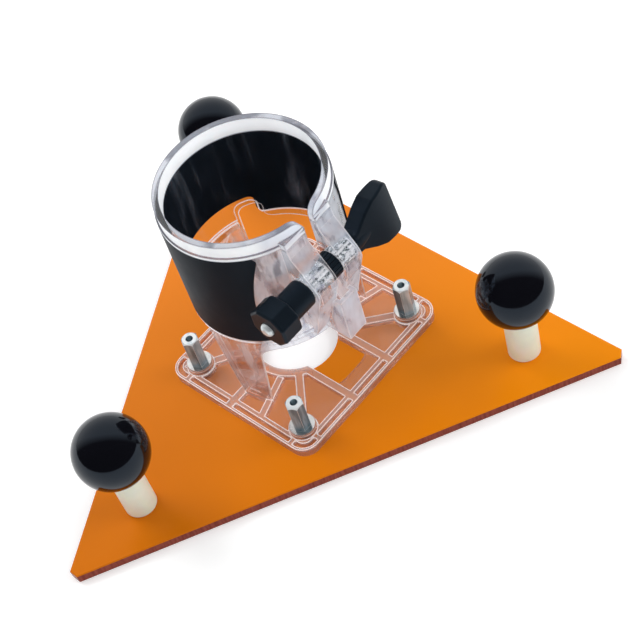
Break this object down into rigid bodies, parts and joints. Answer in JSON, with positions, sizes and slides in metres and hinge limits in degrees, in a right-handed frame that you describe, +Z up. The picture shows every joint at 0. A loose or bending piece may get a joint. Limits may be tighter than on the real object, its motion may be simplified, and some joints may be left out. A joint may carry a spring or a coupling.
{
  "type": "router base plate",
  "caption": "Triangular sole plate with ball handles and a clear slit-tube base that clamps a small router motor with a wing-knob bolt.",
  "frame": {"origin": "centre of the cutter hole on the underside of the plate, on the motor tube's axis", "axes": "+Z up the motor tube, +X along the plate's straight front edge to the right, +Y to the back corner and back ball"},
  "size_m": [0.2456, 0.2127, 0.1105],
  "materials": {
    "plate": "polished cast sheet with sawn, lightly polished edges",
    "clear": "clear moulded plastic, glossy",
    "wrap": "dark glossy film",
    "ball": "polished",
    "sleeve": "turned plastic, satin",
    "knob": "moulded, satin",
    "brass": "machined",
    "steel": "zinc plated",
    "nickel": "bright nickel plated"
  },
  "bodies": {
    "base": {"ball_inserts": "brass", "base_plate": "plate", "base_screws": "steel", "ear_bushing_left": "nickel", "ear_bushing_right": "nickel", "gap_collar": "knob", "handle_ball_back": "ball", "handle_ball_left": "ball", "handle_ball_right": "ball", "handle_screws": "steel", "handle_sleeve_back": "sleeve", "handle_sleeve_left": "sleeve", "handle_sleeve_right": "sleeve", "post_back": "nickel", "post_front": "nickel", "post_left": "nickel", "post_right": "nickel", "post_washers": "nickel", "router_base": "clear", "tube_wrap": "wrap"},
    "wing": {"wing_knob": "knob", "clamp_bolt": "steel"},
    "nut": {"nut_knob": "knob", "nut_insert": "brass"}
  },
  "joints": [
    {"name": "wing_turn", "type": "hinge", "parent": "base", "child": "wing", "pos_m": [0.01982, -0.03312, 0.0814], "axis": [0.8581, 0.5135, 0], "range_deg": [0, 1080]},
    {"name": "nut_travel", "type": "slide", "parent": "base", "child": "nut", "axis": [-0.8581, -0.5135, 0], "range_m": [0, 0.00301]}
  ],
  "couplings": [
    {"joint": "nut_travel", "follows": "wing_turn", "m_per_rad": 0.00015915}
  ]
}
